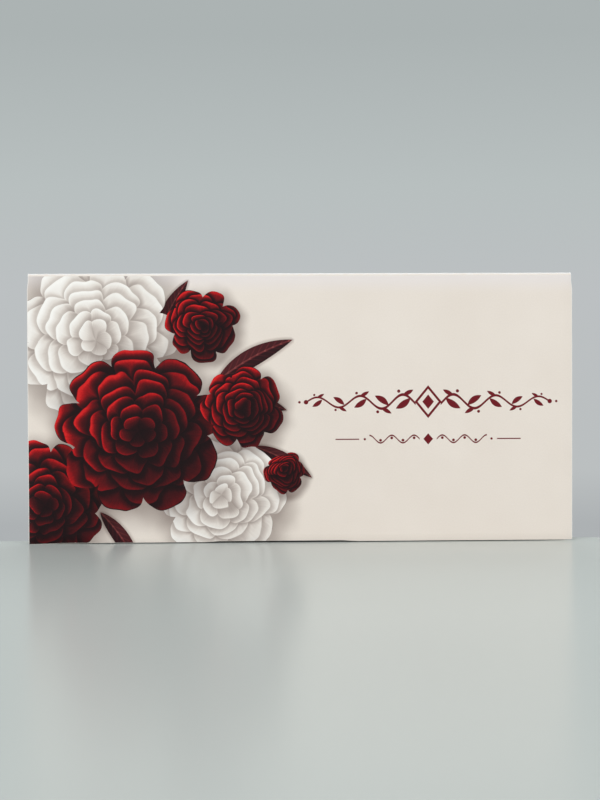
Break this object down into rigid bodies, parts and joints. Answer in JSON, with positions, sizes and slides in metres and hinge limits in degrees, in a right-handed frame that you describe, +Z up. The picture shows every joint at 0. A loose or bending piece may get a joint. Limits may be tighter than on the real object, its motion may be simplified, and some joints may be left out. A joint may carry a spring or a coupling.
{
  "type": "money envelope",
  "caption": "Landscape folded card envelope for banknotes: a hinged printed cover over a back panel with a glued inner pocket, standing slightly open.",
  "frame": {"origin": "middle of the footprint, on the surface that the envelope stands on", "axes": "+X to the right along the cover's long edge, seen from the front; +Y to the rear; +Z up; the printed cover faces -Y"},
  "size_m": [0.165, 0.0092, 0.0815],
  "materials": {
    "printed_cover": "satin",
    "cream_card": "satin",
    "creased_card": "satin",
    "white_board": "matte",
    "dried_glue": "satin"
  },
  "bodies": {
    "back": {"back_panel": "cream_card", "top_fold": "creased_card", "bottom_fold": "creased_card", "pocket_panel": "cream_card", "left_tab": "white_board", "right_tab": "white_board", "left_tab_fold": "creased_card", "right_tab_fold": "creased_card", "left_glue_strip": "dried_glue", "right_glue_strip": "dried_glue"},
    "cover": {"front_cover": "printed_cover"}
  },
  "joints": [
    {"name": "cover_fold", "type": "hinge", "parent": "back", "child": "cover", "pos_m": [0, -0.00328, 0.08167], "axis": [-1, 0, 0], "range_deg": [-5.5, 174.5], "deforming": ["top_fold"]}
  ]
}
